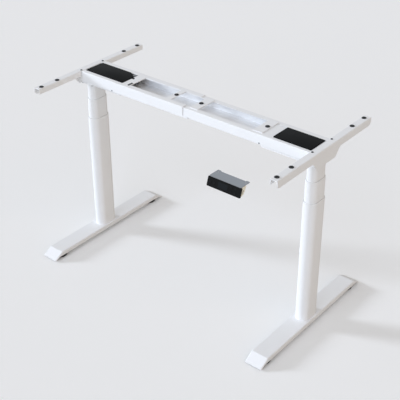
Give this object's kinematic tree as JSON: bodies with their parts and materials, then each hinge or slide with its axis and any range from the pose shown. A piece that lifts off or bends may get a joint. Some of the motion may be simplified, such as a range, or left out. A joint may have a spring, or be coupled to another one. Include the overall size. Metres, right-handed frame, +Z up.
{
  "type": "height-adjustable desk frame",
  "caption": "Height-adjustable desk frame: electric three-stage columns on flat feet, a telescoping channel beam, side brackets and a push-button handset.",
  "frame": {"origin": "on the floor, at the centre of the outline of the frame and handset", "axes": "+X along the beam to the side that carries the handset, +Y to the back, +Z up"},
  "size_m": [1.164, 0.7644, 0.7856],
  "materials": {
    "white_powder_coat": "fine satin powder coat",
    "grey_steel": "zinc plated, satin",
    "bright_steel": "rolled thread, oiled",
    "black_screw": "black oxide",
    "motor_alloy": "die cast",
    "nut_bronze": "turned",
    "glide_nylon": "moulded",
    "black_moulding": "fine moulded texture",
    "black_gloss": "polished",
    "cream_moulding": "smooth moulded",
    "window_tint": "tinted, polished",
    "button_black": "polished",
    "rubber_black": "matte",
    "foot_plastic": "moulded"
  },
  "bodies": {
    "base_left": {"foot_left": "white_powder_coat", "foot_bolts_left": "grey_steel", "outer_tube_left": "white_powder_coat", "base_post_left": "grey_steel", "lower_nut_left": "nut_bronze", "outer_glide_left": "glide_nylon"},
    "middle_left": {"middle_tube_left": "white_powder_coat", "middle_post_left": "grey_steel", "upper_nut_left": "nut_bronze", "middle_glides_left": "glide_nylon"},
    "top_left": {"inner_tube_left": "white_powder_coat", "inner_glide_left": "glide_nylon", "drive_pan_left": "white_powder_coat", "gear_motor_left": "motor_alloy", "side_bracket_left": "white_powder_coat", "frame_screws_left": "black_screw", "rubber_pads_left": "rubber_black", "cross_bars_left": "white_powder_coat", "outer_channel": "white_powder_coat", "control_box": "black_moulding", "control_box_plugs": "black_moulding"},
    "lower_spindle_left_turning": {"lower_spindle_left": "bright_steel"},
    "upper_spindle_left_turning": {"upper_spindle_left": "bright_steel"},
    "leveller_left_front": {"levelling_foot_left_front": "foot_plastic"},
    "leveller_left_back": {"levelling_foot_left_back": "foot_plastic"},
    "base_right": {"foot_right": "white_powder_coat", "foot_bolts_right": "grey_steel", "outer_tube_right": "white_powder_coat", "base_post_right": "grey_steel", "lower_nut_right": "nut_bronze", "outer_glide_right": "glide_nylon"},
    "middle_right": {"middle_tube_right": "white_powder_coat", "middle_post_right": "grey_steel", "upper_nut_right": "nut_bronze", "middle_glides_right": "glide_nylon"},
    "top_right": {"inner_tube_right": "white_powder_coat", "inner_glide_right": "glide_nylon", "drive_pan_right": "white_powder_coat", "gear_motor_right": "motor_alloy", "side_bracket_right": "white_powder_coat", "frame_screws_right": "black_screw", "rubber_pads_right": "rubber_black", "cross_bars_right": "white_powder_coat", "inner_channel": "white_powder_coat", "motor_cover": "black_moulding", "deck_plate": "white_powder_coat", "handset_case": "cream_moulding", "handset_hanger": "grey_steel", "handset_panel": "black_gloss", "display_window": "window_tint"},
    "lower_spindle_right_turning": {"lower_spindle_right": "bright_steel"},
    "upper_spindle_right_turning": {"upper_spindle_right": "bright_steel"},
    "leveller_right_front": {"levelling_foot_right_front": "foot_plastic"},
    "leveller_right_back": {"levelling_foot_right_back": "foot_plastic"},
    "up_button_cap": {"up_button": "button_black"},
    "down_button_cap": {"down_button": "button_black"},
    "memory_button_1_cap": {"memory_button_1": "button_black"},
    "memory_button_2_cap": {"memory_button_2": "button_black"},
    "memory_button_3_cap": {"memory_button_3": "button_black"},
    "memory_button_m_cap": {"memory_button_m": "button_black"}
  },
  "joints": [
    {"name": "lift_left_lower", "type": "slide", "parent": "base_left", "child": "middle_left", "axis": [0, 0, 1], "range_m": [-0.06, 0.245]},
    {"name": "lift_left_upper", "type": "slide", "parent": "middle_left", "child": "top_left", "axis": [0, 0, 1], "range_m": [-0.06, 0.245]},
    {"name": "width_slide", "type": "slide", "parent": "top_left", "child": "top_right", "axis": [1, 0, 0], "range_m": [-0.015, 0.2]},
    {"name": "lift_right_upper", "type": "slide", "parent": "top_right", "child": "middle_right", "axis": [0, 0, -1], "range_m": [-0.06, 0.245]},
    {"name": "lift_right_lower", "type": "slide", "parent": "middle_right", "child": "base_right", "axis": [0, 0, -1], "range_m": [-0.06, 0.245]},
    {"name": "lower_spindle_turn_left", "type": "hinge", "parent": "middle_left", "child": "lower_spindle_left_turning", "pos_m": [-0.5435, 0.03717, 0.7], "axis": [0, 0, 1], "range_deg": [-2170, 8830]},
    {"name": "upper_spindle_turn_left", "type": "hinge", "parent": "top_left", "child": "upper_spindle_left_turning", "pos_m": [-0.5435, 0.03717, 0.7], "axis": [0, 0, 1], "range_deg": [-2170, 8830]},
    {"name": "level_left_front", "type": "slide", "parent": "base_left", "child": "leveller_left_front", "axis": [0, 0, -1], "range_m": [0, 0.008]},
    {"name": "level_left_back", "type": "slide", "parent": "base_left", "child": "leveller_left_back", "axis": [0, 0, -1], "range_m": [0, 0.008]},
    {"name": "lower_spindle_turn_right", "type": "hinge", "parent": "middle_right", "child": "lower_spindle_right_turning", "pos_m": [0.5435, 0.03717, 0.7], "axis": [0, 0, 1], "range_deg": [-2170, 8830]},
    {"name": "upper_spindle_turn_right", "type": "hinge", "parent": "top_right", "child": "upper_spindle_right_turning", "pos_m": [0.5435, 0.03717, 0.7], "axis": [0, 0, 1], "range_deg": [-2170, 8830]},
    {"name": "level_right_front", "type": "slide", "parent": "base_right", "child": "leveller_right_front", "axis": [0, 0, -1], "range_m": [0, 0.008]},
    {"name": "level_right_back", "type": "slide", "parent": "base_right", "child": "leveller_right_back", "axis": [0, 0, -1], "range_m": [0, 0.008]},
    {"name": "press_up_button", "type": "slide", "parent": "top_right", "child": "up_button_cap", "axis": [0, 0.9478, -0.319], "range_m": [0, 0.0008], "stiffness_N_per_m": 2500},
    {"name": "press_down_button", "type": "slide", "parent": "top_right", "child": "down_button_cap", "axis": [0, 0.9478, -0.319], "range_m": [0, 0.0008], "stiffness_N_per_m": 2500},
    {"name": "press_memory_button_1", "type": "slide", "parent": "top_right", "child": "memory_button_1_cap", "axis": [0, 0.9478, -0.319], "range_m": [0, 0.0008], "stiffness_N_per_m": 2500},
    {"name": "press_memory_button_2", "type": "slide", "parent": "top_right", "child": "memory_button_2_cap", "axis": [0, 0.9478, -0.319], "range_m": [0, 0.0008], "stiffness_N_per_m": 2500},
    {"name": "press_memory_button_3", "type": "slide", "parent": "top_right", "child": "memory_button_3_cap", "axis": [0, 0.9478, -0.319], "range_m": [0, 0.0008], "stiffness_N_per_m": 2500},
    {"name": "press_memory_button_m", "type": "slide", "parent": "top_right", "child": "memory_button_m_cap", "axis": [0, 0.9478, -0.319], "range_m": [0, 0.0008], "stiffness_N_per_m": 2500}
  ],
  "couplings": [
    {"joint": "lift_left_upper", "follows": "lift_left_lower", "ratio": 1},
    {"joint": "lift_right_upper", "follows": "lift_left_lower", "ratio": 1},
    {"joint": "lift_right_lower", "follows": "lift_left_lower", "ratio": 1},
    {"joint": "lower_spindle_turn_left", "follows": "lift_left_lower", "rad_per_m": 628.32},
    {"joint": "upper_spindle_turn_left", "follows": "lift_left_lower", "rad_per_m": 628.32},
    {"joint": "lower_spindle_turn_right", "follows": "lift_left_lower", "rad_per_m": 628.32},
    {"joint": "upper_spindle_turn_right", "follows": "lift_left_lower", "rad_per_m": 628.32}
  ]
}
